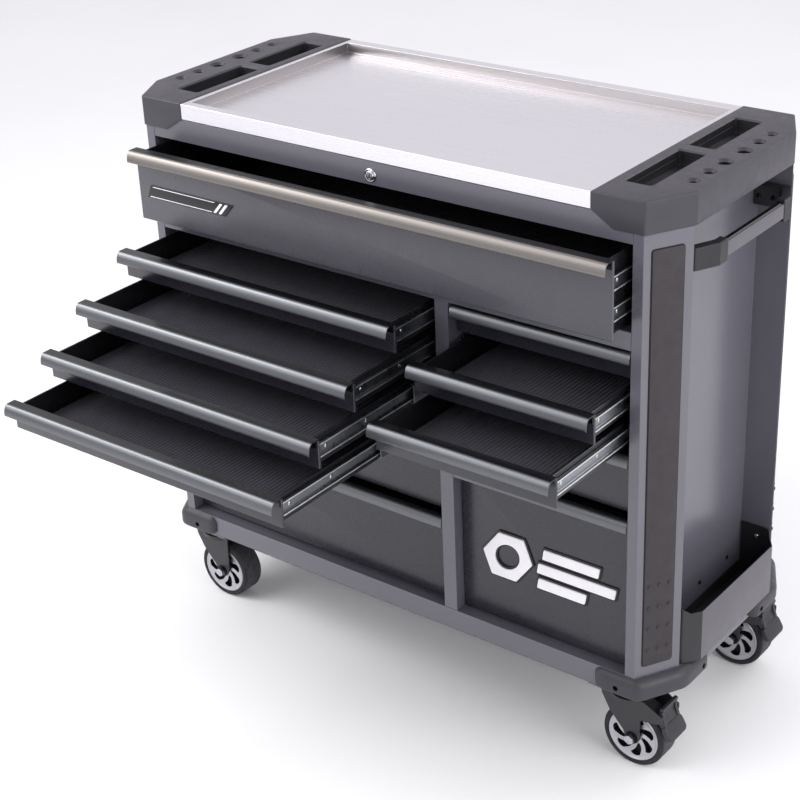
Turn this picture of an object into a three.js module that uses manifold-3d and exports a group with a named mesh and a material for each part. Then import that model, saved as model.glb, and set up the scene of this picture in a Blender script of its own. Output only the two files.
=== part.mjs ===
// Rolling tool chest: twelve drawers, a stainless worktop pan, moulded end caps and four swivel casters.
// Millimetres, +Z up. The drawers open towards -Y and the push handle is on the +X side.
// The chest's own centre plane is x = 0, y = 0, and the whole is shifted at the end of the file so that
// the origin lies under the middle of its bounding box.

import * as THREE from 'three';
import { mergeVertices } from 'three/addons/utils/BufferGeometryUtils.js';
import Module from 'manifold-3d';

const wasm = await Module();
wasm.setup();

// ---------------------------------------------------------------- driving dimensions

const GAP = 0.3; // clearance between pieces that touch
const SHEET = 2; // folded steel of the cabinet

// Cabinet plan: a rectangle with long chamfers on its four corner posts.
const BODY_X = 589.5;
const BODY_Y = 250.5;
const CHAMFER_X = 45;
const CHAMFER_Y = 80;
const OPENING_X = 524.5;
const RECESS_X = 526.5;
const RECESS_Y = 168.5;
const RECESS_LIP = 17;

// Cabinet levels.
const RAIL_BOTTOM = 174.5;
const OPENING_BOTTOM = 218;
const SHELF_BOTTOM = 855;
const SHELF_TOP = 888;
const OPENING_TOP = 1040;
const CAP_BOTTOM = 1059;
const HEADER_TOP = 1083.5;
const PAN_BOTTOM = 1085;
const TOP = 1116;

// Centre divider between the two lower columns.
const DIVIDER_LEFT = 128.5;
const DIVIDER_RIGHT = 157.5;

// Moulded end caps and their pockets and screwdriver holes.
const CAP_X = 592;
const CAP_Y = 253;
const CAP_INNER_X = 447;
const CAP_CHAMFER_X = 45;
const CAP_CHAMFER_Y = 85;
const CAP_WALL = 2.2;
const CAP_DECK = 4;
const POCKET_X = [467, 517];
const POCKETS_Y = [[-184, -8], [20, 187]];
const POCKET_FLOOR = 1089;
const HOLE_X = 561;
const HOLES = [[-129, 7.5], [-79, 9], [-25.5, 11.5], [39.5, 11.5], [91.5, 9], [138, 7.5]];
const COUNTERSINK = 4.5;

// Worktop pan.
const PAN_SHEET = 1.5;
const PAN_X = CAP_INNER_X - GAP;
const PAN_Y = 252;
const PAN_TOP = 1114.5;
const PAN_FLOOR = 1095;
const PAN_WELL_X = 437;
const PAN_WELL_Y = [-233, 228];

// Drawers.
const FRONT_FACE_Y = -227.3; // front of a closed drawer's panel
const FRONT_THICK = 3;
const FRONT_GAP_TOP = 6;
const FRONT_GAP_BOTTOM = 1.5;
const FRONT_SIDE_GAP = 2.2;
const BOX_BACK_Y = 226;
const BOX_SHEET = 1.5;
const BOX_RISE = 2; // box floor above the panel's lower edge
const BOX_DROP = 5; // box rim below the handle's top
const PANEL_DROP = 2.7; // panel's upper edge below the handle's top
const SLIDE_SPACE = 13;
const SLIDE_DEPTH = 8;
const SLIDE_HALF = 13;
const OUTER_SLIDE_HALF = 22.5;
const SHALLOW_SLIDE_DROP = 27;
const DEEP_SLIDE_DROP = 46;
const SHALLOW = 63.5;

// name, column, cell top, cell height, how far it stands open, slide heights below the front's top edge
const DRAWERS = [
  { name: 'top_drawer', column: 'full', top: 1039, height: 148, open: 78.8, slides: [46, 100] },
  ...column('left', [[SHALLOW, 134.4], [SHALLOW, 250.5], [SHALLOW, 349], [SHALLOW, 448.5], [184, 0], [196, 0]]),
  ...column('right', [[SHALLOW, 0], [SHALLOW, 129.3], [SHALLOW, 240.4], [127, 0], [316.5, 0]]),
];
const COLUMNS = {
  full: [-OPENING_X, OPENING_X],
  left: [-OPENING_X, DIVIDER_LEFT],
  right: [DIVIDER_RIGHT, OPENING_X],
};

// Corner bumpers: share of the way from the cabinet to the outer line, and height.
const BUMPER_SECTION = [[0, 177], [0.85, 177], [1, 180], [1, 206], [0.4, 216], [0, 218]];
const BUMPER_OUTER = [[472, -261], [560, -261], [608, -174], [608, -86]];

// Side handle.
const BAR_OUTER_X = 611;
const BAR_INNER_X = 597;
const BAR_END_Y = 98;
const BAR_Z = [984, 1015];
const BRACKET_Z = [979, 1019];
const BRACKET_THICK = 18;

// Side tray.
const TRAY_OUTER_X = 612;
const TRAY_BOTTOM = 218.5;
const TRAY_RIM = 321.5;
const TRAY_EAR_TOP = 333;
const TRAY_INNER_RIM = 245;

// Lock in the middle of the header.
const LOCK_Z = 1058;
const LOCK_RADIUS = 9;

// Casters.
const CASTER_X = 507.5;
const CASTER_Y = 191;
const TRAIL = 17;
const WHEEL_RADIUS = 63.5;
const WHEEL_HALF = 25;
const RIM_RADIUS = 50;
const WHEEL_SEGMENTS = 26;
const AXLE_RADIUS = 6;
const LEG_INNER = 27.3;
const LEG_OUTER = 30.5;
const CROWN_Z = [143, 151];
const CROWN_RADIUS = 43;
const HEAD_RADIUS = 33;
const HEAD_TOP = 169.3;
const SEAT_BOTTOM = HEAD_TOP + GAP;

// ---------------------------------------------------------------- materials

const FINISH = {
  powder_coat: { color: 0x6b6b73, roughness: 0.45, metalness: 0.3 },
  drawer_front: { color: 0x46464d, roughness: 0.4, metalness: 0.3 },
  plastic: { color: 0x4a4a4f, roughness: 0.7, metalness: 0 },
  stainless: { color: 0xd2d2d6, roughness: 0.2, metalness: 1 },
  trim: { color: 0x5a5a5c, roughness: 0.25, metalness: 0.9 },
  zinc: { color: 0xb9bcc0, roughness: 0.35, metalness: 1 },
  dark_steel: { color: 0x3c3c40, roughness: 0.5, metalness: 0.5 },
  chrome: { color: 0xe0e0e4, roughness: 0.1, metalness: 1 },
  silver: { color: 0xcfcfd6, roughness: 0.35, metalness: 0.6 },
  tyre: { color: 0x3d3d40, roughness: 0.85, metalness: 0 },
  rubber: { color: 0x35353a, roughness: 0.8, metalness: 0 },
};

// ---------------------------------------------------------------- geometry helpers

const solidOf = (geometry) => {
  const bare = geometry.clone();
  bare.deleteAttribute('normal');
  bare.deleteAttribute('uv');
  const merged = mergeVertices(bare, 1e-3);
  const vertProperties = new Float32Array(merged.attributes.position.array);
  const triVerts = new Uint32Array(merged.index.array);
  return new wasm.Manifold(new wasm.Mesh({ numProp: 3, vertProperties, triVerts }));
};

const geometryOf = (solid) => {
  const mesh = solid.getMesh();
  const geometry = new THREE.BufferGeometry();
  geometry.setAttribute('position', new THREE.BufferAttribute(mesh.vertProperties, 3));
  geometry.setIndex(new THREE.BufferAttribute(mesh.triVerts, 1));
  geometry.computeVertexNormals();
  return geometry;
};

const join = (...parts) => geometryOf(parts.map(solidOf).reduce((a, b) => a.add(b)));

const cut = (body, ...tools) => geometryOf(tools.map(solidOf).reduce((a, b) => a.subtract(b), solidOf(body)));

const signedArea = (points) =>
  points.reduce((sum, [x, y], i) => {
    const [nextX, nextY] = points[(i + 1) % points.length];
    return sum + (x * nextY - nextX * y) / 2;
  }, 0);

const box = ([x0, x1], [y0, y1], [z0, z1]) => {
  const geometry = new THREE.BoxGeometry(x1 - x0, y1 - y0, z1 - z0);
  return geometry.translate((x0 + x1) / 2, (y0 + y1) / 2, (z0 + z1) / 2);
};

const outlineShape = (points) => new THREE.Shape(points.map(([x, y]) => new THREE.Vector2(x, y)));

// An outline in plan, raised from z0 to z1.
const upright = (points, [z0, z1]) => {
  const geometry = new THREE.ExtrudeGeometry(outlineShape(points), { depth: z1 - z0, bevelEnabled: false });
  return geometry.translate(0, 0, z0);
};

// A (y, z) section, run along x from x0 to x1.
const alongX = (section, [x0, x1]) => {
  const geometry = new THREE.ExtrudeGeometry(outlineShape(section), { depth: x1 - x0, bevelEnabled: false });
  geometry.applyMatrix4(new THREE.Matrix4().set(0, 0, 1, x0, 1, 0, 0, 0, 0, 1, 0, 0, 0, 0, 0, 1));
  return geometry;
};

// An (x, z) section, run along y from y0 to y1.
const alongY = (section, [y0, y1]) => {
  const flipped = section.map(([x, z]) => [z, x]);
  const geometry = new THREE.ExtrudeGeometry(outlineShape(flipped), { depth: y1 - y0, bevelEnabled: false });
  geometry.applyMatrix4(new THREE.Matrix4().set(0, 1, 0, 0, 0, 0, 1, y0, 1, 0, 0, 0, 0, 0, 0, 1));
  return geometry;
};

// A closed (radius, height) profile turned about the y axis.
const turned = (profile, segments) => {
  const ordered = signedArea(profile) > 0 ? profile : [...profile].reverse();
  const points = [...ordered, ordered[0]].map(([r, h]) => new THREE.Vector2(r, h));
  return new THREE.LatheGeometry(points, segments);
};

const cylinderZ = (radius, [z0, z1], segments, topRadius = radius) => {
  const geometry = new THREE.CylinderGeometry(topRadius, radius, z1 - z0, segments);
  return geometry.rotateX(Math.PI / 2).translate(0, 0, (z0 + z1) / 2);
};

const cylinderY = (radius, [y0, y1], segments) => {
  const geometry = new THREE.CylinderGeometry(radius, radius, y1 - y0, segments);
  return geometry.translate(0, (y0 + y1) / 2, 0);
};

// Moves every edge of a path sideways by a distance, to the left of its direction, with mitred corners.
const offsetPath = (path, distance, closed = false) => {
  const count = path.length;
  const normals = path.map(([x, y], i) => {
    const [nextX, nextY] = path[(i + 1) % count];
    const length = Math.hypot(nextX - x, nextY - y);
    return [-(nextY - y) / length, (nextX - x) / length];
  });
  return path.map(([x, y], i) => {
    const before = closed || i > 0 ? normals[(i - 1 + count) % count] : normals[0];
    const after = closed || i < count - 1 ? normals[i] : normals[count - 2];
    const scale = distance / (1 + before[0] * after[0] + before[1] * after[1]);
    return [x + (before[0] + after[0]) * scale, y + (before[1] + after[1]) * scale];
  });
};

// A sheet folded along a path, its thickness on the left of the path's direction.
const foldedSheet = (path, thickness) => [...path, ...offsetPath(path, thickness).reverse()];

const mirrorX = (points) => points.map(([x, y]) => [-x, y]).reverse();
const mirrorY = (points) => points.map(([x, y]) => [x, -y]).reverse();

const flipX = (geometry) => {
  const flipped = geometry.clone().scale(-1, 1, 1);
  const index = flipped.index.array;
  for (let i = 0; i < index.length; i += 3) {
    [index[i], index[i + 1]] = [index[i + 1], index[i]];
  }
  flipped.computeVertexNormals();
  return flipped;
};

const chest = new THREE.Group();

const place = (name, geometry, finish, [x, y, z] = [0, 0, 0], parent = chest) => {
  const mesh = new THREE.Mesh(geometry, new THREE.MeshStandardMaterial(FINISH[finish]));
  mesh.name = name;
  mesh.position.set(x, y, z);
  parent.add(mesh);
  return mesh;
};

// ---------------------------------------------------------------- cabinet

const bodyOutline = [
  [-BODY_X + CHAMFER_X, -BODY_Y],
  [BODY_X - CHAMFER_X, -BODY_Y],
  [BODY_X, -BODY_Y + CHAMFER_Y],
  [BODY_X, BODY_Y - CHAMFER_Y],
  [BODY_X - CHAMFER_X, BODY_Y],
  [-BODY_X + CHAMFER_X, BODY_Y],
  [-BODY_X, BODY_Y - CHAMFER_Y],
  [-BODY_X, -BODY_Y + CHAMFER_Y],
];

const CASTER_SPOTS = [
  { name: 'front_right', x: CASTER_X, y: -CASTER_Y, braked: true },
  { name: 'rear_right', x: CASTER_X, y: CASTER_Y, braked: true },
  { name: 'front_left', x: -CASTER_X, y: -CASTER_Y, braked: false },
  { name: 'rear_left', x: -CASTER_X, y: CASTER_Y, braked: false },
];

// Floor sheet with the lower rails folded down round it, and a welded seat plate over each caster.
function basePan() {
  const railWall = 3;
  const seatHalf = 44;
  const seatInnerReach = 60;
  const edgeClear = 1;
  const weldRise = 4;
  const shell = upright(bodyOutline, [RAIL_BOTTOM, OPENING_BOTTOM]);
  const hollow = upright(offsetPath(bodyOutline, railWall, true), [RAIL_BOTTOM - 1, OPENING_BOTTOM - SHEET]);
  const seats = CASTER_SPOTS.map(({ x, y }) => {
    const inward = -Math.sign(x);
    const reach = [x - inward * seatHalf, x + inward * seatInnerReach].sort((a, b) => a - b);
    const across = [Math.sign(y) * (BODY_Y - edgeClear), y - Math.sign(y) * seatHalf].sort((a, b) => a - b);
    return box(reach, across, [SEAT_BOTTOM, RAIL_BOTTOM + weldRise]);
  });
  const trim = upright(offsetPath(bodyOutline, edgeClear, true), [SEAT_BOTTOM - 1, RAIL_BOTTOM + weldRise + 1]);
  const seatPlates = seats.map((seat) => geometryOf(solidOf(seat).intersect(solidOf(trim))));
  return join(cut(shell, hollow), ...seatPlates);
}

// One sheet folded round the front post, the side recess and the rear post.
function sidePanelOutline() {
  const front = [
    [OPENING_X, -200],
    [OPENING_X, -BODY_Y],
    [BODY_X - CHAMFER_X, -BODY_Y],
    [BODY_X, -BODY_Y + CHAMFER_Y],
    [BODY_X - RECESS_LIP, -RECESS_Y],
    [RECESS_X, -RECESS_Y],
  ];
  return foldedSheet([...front, ...mirrorY(front)], SHEET);
}

function header() {
  const topFlange = 45;
  const bottomFlange = 25;
  const lockClear = 0.6;
  const section = foldedSheet([
    [-BODY_Y + topFlange, HEADER_TOP],
    [-BODY_Y, HEADER_TOP],
    [-BODY_Y, OPENING_TOP],
    [-BODY_Y + bottomFlange, OPENING_TOP],
  ], SHEET);
  const rail = alongX(section, [-OPENING_X + GAP, OPENING_X - GAP]);
  const lockHole = cylinderY(LOCK_RADIUS + lockClear, [-BODY_Y - SHEET, -BODY_Y + 2 * SHEET], 20);
  return cut(rail, lockHole.translate(0, 0, LOCK_Z));
}

// The shelf under the top drawer, with the divider box welded below it.
function innerFrame() {
  const halfWidth = OPENING_X - GAP;
  const shelfHalf = halfWidth - 3;
  const backY = BODY_Y - 4;
  const lipDepth = 20;
  const railFace = box([-halfWidth, halfWidth], [-BODY_Y, -BODY_Y + SHEET], [SHELF_BOTTOM, SHELF_TOP]);
  const shelf = box([-shelfHalf, shelfHalf], [-BODY_Y + 1, backY], [SHELF_TOP - SHEET, SHELF_TOP]);
  const lipLevel = [SHELF_BOTTOM, SHELF_BOTTOM + SHEET];
  const lip = box([-shelfHalf, shelfHalf], [-BODY_Y + 1, -BODY_Y + lipDepth], lipLevel);
  const divider = box([DIVIDER_LEFT, DIVIDER_RIGHT], [-BODY_Y, backY], [OPENING_BOTTOM + GAP, SHELF_TOP - 1]);
  const hollow = box(
    [DIVIDER_LEFT + SHEET, DIVIDER_RIGHT - SHEET],
    [-BODY_Y + SHEET, backY + 1],
    [OPENING_BOTTOM - 1, SHELF_TOP - SHEET],
  );
  return cut(join(railFace, shelf, lip, divider), hollow);
}

function cabinet() {
  place('base_pan', basePan(), 'powder_coat');
  const backHalf = OPENING_X - GAP;
  const back = box([-backHalf, backHalf], [BODY_Y - SHEET, BODY_Y], [OPENING_BOTTOM + GAP, HEADER_TOP]);
  place('back_panel', back, 'powder_coat');
  const panelRise = [OPENING_BOTTOM + GAP, CAP_BOTTOM - GAP];
  const outline = sidePanelOutline();
  place('right_side_panel', upright(outline, panelRise), 'powder_coat');
  place('left_side_panel', upright(mirrorX(outline), panelRise), 'powder_coat');
  place('top_header', header(), 'powder_coat');
  place('inner_frame', innerFrame(), 'powder_coat');
}

// ---------------------------------------------------------------- worktop and end caps

function worktopPan() {
  const block = box([-PAN_X, PAN_X], [-PAN_Y, PAN_Y], [PAN_BOTTOM, PAN_TOP]);
  const well = box([-PAN_WELL_X, PAN_WELL_X], PAN_WELL_Y, [PAN_FLOOR, PAN_TOP + 1]);
  const inset = PAN_X - PAN_SHEET;
  const insetY = PAN_Y - PAN_SHEET;
  const rimHollow = cut(
    box([-inset, inset], [-insetY, insetY], [PAN_BOTTOM - 1, PAN_TOP - PAN_SHEET]),
    box(
      [-PAN_WELL_X - PAN_SHEET, PAN_WELL_X + PAN_SHEET],
      [PAN_WELL_Y[0] - PAN_SHEET, PAN_WELL_Y[1] + PAN_SHEET],
      [PAN_FLOOR - PAN_SHEET, PAN_TOP],
    ),
  );
  return cut(block, well, rimHollow);
}

// The right-hand cap; the left one is its mirror image.
function endCap() {
  const outline = [
    [CAP_INNER_X, -CAP_Y],
    [CAP_X - CAP_CHAMFER_X, -CAP_Y],
    [CAP_X, -CAP_Y + CAP_CHAMFER_Y],
    [CAP_X, CAP_Y - CAP_CHAMFER_Y],
    [CAP_X - CAP_CHAMFER_X, CAP_Y],
    [CAP_INNER_X, CAP_Y],
  ];
  const block = upright(outline, [CAP_BOTTOM, TOP]);
  const cavity = upright(offsetPath(outline, CAP_WALL, true), [CAP_BOTTOM - 1, TOP - CAP_DECK]);
  const wellOuter = [POCKET_X[0] - CAP_WALL, POCKET_X[1] + CAP_WALL];
  const wells = POCKETS_Y.map(([y0, y1]) =>
    box(wellOuter, [y0 - CAP_WALL, y1 + CAP_WALL], [POCKET_FLOOR - CAP_WALL, TOP - 1]),
  );
  const pockets = POCKETS_Y.map((range) => box(POCKET_X, range, [POCKET_FLOOR, TOP + 1]));
  const holes = HOLES.flatMap(([y, radius]) => [
    cylinderZ(radius, [TOP - CAP_DECK - 1, TOP + 1], 14).translate(HOLE_X, y, 0),
    cylinderZ(radius - 0.5, [TOP - 3, TOP + 0.5], 14, radius + COUNTERSINK).translate(HOLE_X, y, 0),
  ]);
  const bevelRise = 26.5;
  const bevelRun = 43;
  const bevel = alongY([
    [CAP_INNER_X - bevelRun, CAP_BOTTOM + 2 * bevelRise],
    [CAP_INNER_X - bevelRun, CAP_BOTTOM - bevelRise],
    [CAP_INNER_X + 2 * bevelRun, CAP_BOTTOM - bevelRise],
  ], [-CAP_Y - 1, CAP_Y + 1]);
  return cut(join(cut(block, cavity), ...wells), ...pockets, ...holes, bevel);
}

function worktop() {
  place('worktop_pan', worktopPan(), 'stainless');
  const cap = endCap();
  place('right_end_cap', cap, 'plastic');
  place('left_end_cap', flipX(cap), 'plastic');
}

// ---------------------------------------------------------------- bumpers, side handle, side tray

// A bar that fills a (share, height) section between an inner and an outer plan path, with flat ends.
function moulding(inner, outer, section) {
  const rows = section.map(([share, z]) =>
    inner.map(([x, y], i) => [x + share * (outer[i][0] - x), y + share * (outer[i][1] - y), z]),
  );
  const vertices = rows.flat();
  const length = inner.length;
  const triangles = [];
  section.forEach((unused, i) => {
    const next = (i + 1) % section.length;
    for (let j = 0; j < length - 1; j += 1) {
      const [a, b, c, d] = [i * length + j, i * length + j + 1, next * length + j + 1, next * length + j];
      triangles.push(a, b, c, a, c, d);
    }
  });
  for (let i = 1; i < section.length - 1; i += 1) {
    triangles.push(0, i * length, (i + 1) * length);
    triangles.push(length - 1, (i + 2) * length - 1, (i + 1) * length - 1);
  }
  const geometry = new THREE.BufferGeometry();
  geometry.setAttribute('position', new THREE.Float32BufferAttribute(vertices.flat(), 3));
  geometry.setIndex(triangles);
  geometry.computeVertexNormals();
  return geometry;
}

function bumpers() {
  const corner = offsetPath([
    [BUMPER_OUTER[0][0], -BODY_Y],
    [BODY_X - CHAMFER_X, -BODY_Y],
    [BODY_X, -BODY_Y + CHAMFER_Y],
    [BODY_X, BUMPER_OUTER[3][1]],
  ], -GAP);
  const turns = {
    bumper_front_right: (points) => points,
    bumper_rear_right: mirrorY,
    bumper_front_left: mirrorX,
    bumper_rear_left: (points) => mirrorX(mirrorY(points)),
  };
  Object.entries(turns).forEach(([name, turn]) => {
    place(name, moulding(turn(corner), turn(BUMPER_OUTER), BUMPER_SECTION), 'plastic');
  });
}

// Plan outline of the front bracket: a foot on the post's inner wall, a slanted arm, a socket block.
const bracketArm = [
  [RECESS_X + GAP, -RECESS_Y + GAP],
  [BODY_X + 1, -RECESS_Y + GAP],
  [BAR_OUTER_X + 1, -BAR_END_Y - 27],
  [BAR_OUTER_X + 1, -BAR_END_Y],
  [BAR_INNER_X - 2, -BAR_END_Y],
  [BAR_INNER_X - 2, -BAR_END_Y - 18],
  [BODY_X - 11, -RECESS_Y + BRACKET_THICK],
  [RECESS_X + GAP, -RECESS_Y + BRACKET_THICK],
];

function sideHandle() {
  place('handle_bracket_front', upright(bracketArm, BRACKET_Z), 'plastic');
  place('handle_bracket_rear', upright(mirrorY(bracketArm), BRACKET_Z), 'plastic');
  const wall = 2.5;
  const reach = [-BAR_END_Y + GAP, BAR_END_Y - GAP];
  const tube = cut(
    box([BAR_INNER_X, BAR_OUTER_X], reach, BAR_Z),
    box([BAR_INNER_X + wall, BAR_OUTER_X - wall], [-BAR_END_Y, BAR_END_Y], [BAR_Z[0] + wall, BAR_Z[1] - wall]),
  );
  place('handle_bar', tube, 'powder_coat');
}

function sideTray() {
  const half = [
    [RECESS_X + 0.5, -RECESS_Y + 0.5],
    [BODY_X - 13.5, -RECESS_Y + 0.5],
    [BODY_X + 1, -RECESS_Y + 5],
    [TRAY_OUTER_X, -RECESS_Y + 36],
  ];
  const outline = [...half, ...mirrorY(half)];
  const shell = upright(outline, [TRAY_BOTTOM, TRAY_EAR_TOP]);
  const inside = upright(offsetPath(outline, SHEET, true), [TRAY_BOTTOM + SHEET, TRAY_EAR_TOP + 1]);
  const aboveRim = alongY([
    [BODY_X - 2, TRAY_EAR_TOP + 1],
    [BODY_X + 8, TRAY_RIM],
    [TRAY_OUTER_X + 1, TRAY_RIM],
    [TRAY_OUTER_X + 1, TRAY_EAR_TOP + 1],
  ], [-RECESS_Y, RECESS_Y]);
  const earStart = BODY_X - 60;
  const aboveInnerRim = box([RECESS_X, earStart], [-RECESS_Y, RECESS_Y], [TRAY_INNER_RIM, TRAY_EAR_TOP + 1]);
  place('side_tray', cut(shell, inside, aboveRim, aboveInnerRim), 'dark_steel');
}

// ---------------------------------------------------------------- lock

function lock() {
  const proud = 3.5;
  const barrelReach = 24;
  const camHalf = 6;
  const camDrop = 13;
  const barrel = cylinderY(LOCK_RADIUS, [-BODY_Y - proud, -BODY_Y + barrelReach], 20);
  const camSpan = [-BODY_Y + barrelReach - 4, -BODY_Y + barrelReach - 1];
  const cam = box([-camHalf, camHalf], camSpan, [-camDrop, 0]);
  place('lock_cylinder', join(barrel, cam), 'chrome', [0, 0, LOCK_Z]);
}

// ---------------------------------------------------------------- drawers

// Drawers of one lower column, from the top: [cell height, how far open].
function column(side, cells) {
  let top = SHELF_BOTTOM;
  return cells.map(([height, open], i) => {
    const drop = height > SHALLOW ? DEEP_SLIDE_DROP : SHALLOW_SLIDE_DROP;
    const drawer = { name: `${side}_drawer_${i + 1}`, column: side, top, height, open, slides: [drop] };
    top -= height;
    return drawer;
  });
}

// Trim handle section: depth from the panel's face, and height from its top edge.
const HANDLE_SECTION = [
  [4, 0],
  [4, -2.4],
  [-2.6, -2.4],
  [-2.6, -14],
  [-0.6, -14],
  [-0.6, -15.6],
  [-4.2, -15.6],
  [-4.2, -2.4],
  [-15.5, -2.4],
  [-18.6, -4.4],
  [-21, -8.8],
  [-22.8, -15],
  [-22.5, -22],
  [-24.5, -22],
  [-24.8, -15],
  [-23, -8],
  [-20, -2],
  [-16, 0],
];

const innerSlideSection = (wallX, side) => {
  const web = wallX + side * BOX_SHEET;
  const tip = wallX + side * SLIDE_DEPTH;
  const lip = SLIDE_HALF - BOX_SHEET;
  const points = [[wallX, -SLIDE_HALF], [tip, -SLIDE_HALF], [tip, -lip], [web, -lip]];
  return [...points, ...mirrorY(points)];
};

function drawerBox([x0, x1], bottom, top, slideHeights) {
  const frontBack = FRONT_FACE_Y + FRONT_THICK;
  const panel = box([x0, x1], [FRONT_FACE_Y, frontBack], [bottom, top - PANEL_DROP]);
  const boxX = [x0 + SLIDE_SPACE, x1 - SLIDE_SPACE];
  const floor = bottom + BOX_RISE;
  const shell = box(boxX, [frontBack - 1, BOX_BACK_Y], [floor, top - BOX_DROP]);
  const inside = box(
    [boxX[0] + BOX_SHEET, boxX[1] - BOX_SHEET],
    [frontBack, BOX_BACK_Y - BOX_SHEET],
    [floor + BOX_SHEET, top],
  );
  const run = [frontBack - 1, BOX_BACK_Y];
  const slides = slideHeights.flatMap((drop) => [
    alongY(innerSlideSection(boxX[0] + 0.1, -1), run).translate(0, 0, top - drop),
    alongY(innerSlideSection(boxX[1] - 0.1, 1), run).translate(0, 0, top - drop),
  ]);
  return join(cut(join(panel, shell), inside), ...slides);
}

function drawers() {
  DRAWERS.forEach(({ name, column: side, top: cellTop, height, open, slides }) => {
    const [left, right] = COLUMNS[side];
    const width = [left + FRONT_SIDE_GAP, right - FRONT_SIDE_GAP];
    const top = cellTop - FRONT_GAP_TOP;
    const bottom = cellTop - height + FRONT_GAP_BOTTOM;
    const drawer = new THREE.Group();
    drawer.position.set(0, -open, 0);
    chest.add(drawer);
    place(name, drawerBox(width, bottom, top, slides), 'drawer_front', [0, 0, 0], drawer);
    const section = HANDLE_SECTION.map(([y, z]) => [FRONT_FACE_Y + y, top + z]);
    place(`${name}_handle`, alongX(section, width), 'trim', [0, 0, 0], drawer);
  });
}

// Two uprights carrying the outer slide members of one wall. side is +1 where the drawers lie towards +X.
function slideBank(wallX, side, columns) {
  const faceX = wallX + side * GAP;
  const webX = faceX + side * BOX_SHEET;
  const tipX = wallX + side * SLIDE_SPACE;
  const lip = OUTER_SLIDE_HALF - BOX_SHEET;
  const half = [[faceX, -OUTER_SLIDE_HALF], [tipX, -OUTER_SLIDE_HALF], [tipX, -lip], [webX, -lip]];
  const section = [...half, ...mirrorY(half)];
  const carried = DRAWERS.filter(({ column: name }) => columns.includes(name));
  const heights = carried.flatMap(({ top, slides }) => slides.map((drop) => top - FRONT_GAP_TOP - drop));
  const memberRun = [FRONT_FACE_Y + 2 * FRONT_THICK, BOX_BACK_Y];
  const members = heights.map((z) => alongY(section, memberRun).translate(0, 0, z));
  const uprightReach = 30;
  const uprightWidth = 26;
  const uprightStarts = [-190, 180];
  const rise = [Math.min(...heights) - uprightReach, Math.max(...heights) + uprightReach];
  const thickness = [faceX, webX].sort((a, b) => a - b);
  const uprights = uprightStarts.map((y) => box(thickness, [y, y + uprightWidth], rise));
  return join(...uprights, ...members);
}

function slideBanks() {
  place('slide_bank_left_wall', slideBank(-OPENING_X, 1, ['full', 'left']), 'zinc');
  place('slide_bank_divider_left', slideBank(DIVIDER_LEFT, -1, ['left']), 'zinc');
  place('slide_bank_divider_right', slideBank(DIVIDER_RIGHT, 1, ['right']), 'zinc');
  place('slide_bank_right_wall', slideBank(OPENING_X, -1, ['full', 'right']), 'zinc');
}

// ---------------------------------------------------------------- casters

// Side view of a fork leg, from the axle centre: distance back, height above the floor.
const legOutline = (braked) => {
  const arm = [[16, 82], [17, 108], [50, 113], [63, 119], [63, 130], [24, CROWN_Z[1]]];
  const plain = [[20, 84], [22, CROWN_Z[1]]];
  return [
    [-66, CROWN_Z[1]],
    [-64, 138],
    [-47, 107],
    [-18, 74],
    [-12, 57],
    [-5, 50.5],
    [5, 50.5],
    [12, 55],
    [18, 66],
    ...(braked ? arm : plain),
  ];
};

function fork(braked) {
  const outline = legOutline(braked);
  const legs = [[-LEG_OUTER, -LEG_INNER], [LEG_INNER, LEG_OUTER]].map((span) => alongY(outline, span));
  const crown = cylinderZ(CROWN_RADIUS, CROWN_Z, 24).translate(-TRAIL, 0, 0);
  const head = cylinderZ(HEAD_RADIUS, [CROWN_Z[0] + 1, HEAD_TOP], 20).translate(-TRAIL, 0, 0);
  const bolt = cylinderY(AXLE_RADIUS, [-LEG_OUTER, LEG_OUTER], 12).translate(0, 0, WHEEL_RADIUS);
  const headReach = LEG_OUTER + 11;
  const headRadius = 9.5;
  const heads = [[-headReach, -LEG_OUTER + 1], [LEG_OUTER - 1, headReach]].map((span) =>
    cylinderY(headRadius, span, 6).translate(0, 0, WHEEL_RADIUS),
  );
  return join(...legs, crown, head, bolt, ...heads);
}

const rimProfile = [
  [AXLE_RADIUS + 0.3, -26],
  [15, -26],
  [16, -24],
  [RIM_RADIUS, -24],
  [RIM_RADIUS, 24],
  [16, 24],
  [15, 26],
  [AXLE_RADIUS + 0.3, 26],
];

const tyreProfile = [
  [RIM_RADIUS + GAP, -WHEEL_HALF + 1.5],
  [RIM_RADIUS + 2, -WHEEL_HALF],
  [WHEEL_RADIUS - 2, -WHEEL_HALF],
  [WHEEL_RADIUS, -WHEEL_HALF + 2.5],
  [WHEEL_RADIUS, WHEEL_HALF - 2.5],
  [WHEEL_RADIUS - 2, WHEEL_HALF],
  [RIM_RADIUS + 2, WHEEL_HALF],
  [RIM_RADIUS + GAP, WHEEL_HALF - 1.5],
];

// Rocker pedal between the fork's brake arms: a release tab above and a foot pad below the pivot.
function brakePedal() {
  const rocker = [[52, 122], [55, 147], [61, 148], [62, 128], [68, 111], [60, 103], [53, 112]];
  const pad = [[57, 111], [69, 111], [75, 106], [82, 90], [82, 82], [77, 79], [66, 98], [57, 102]];
  return join(alongY(rocker, [-LEG_INNER + 1, LEG_INNER - 1]), alongY(pad, [-31, 31]));
}

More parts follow.
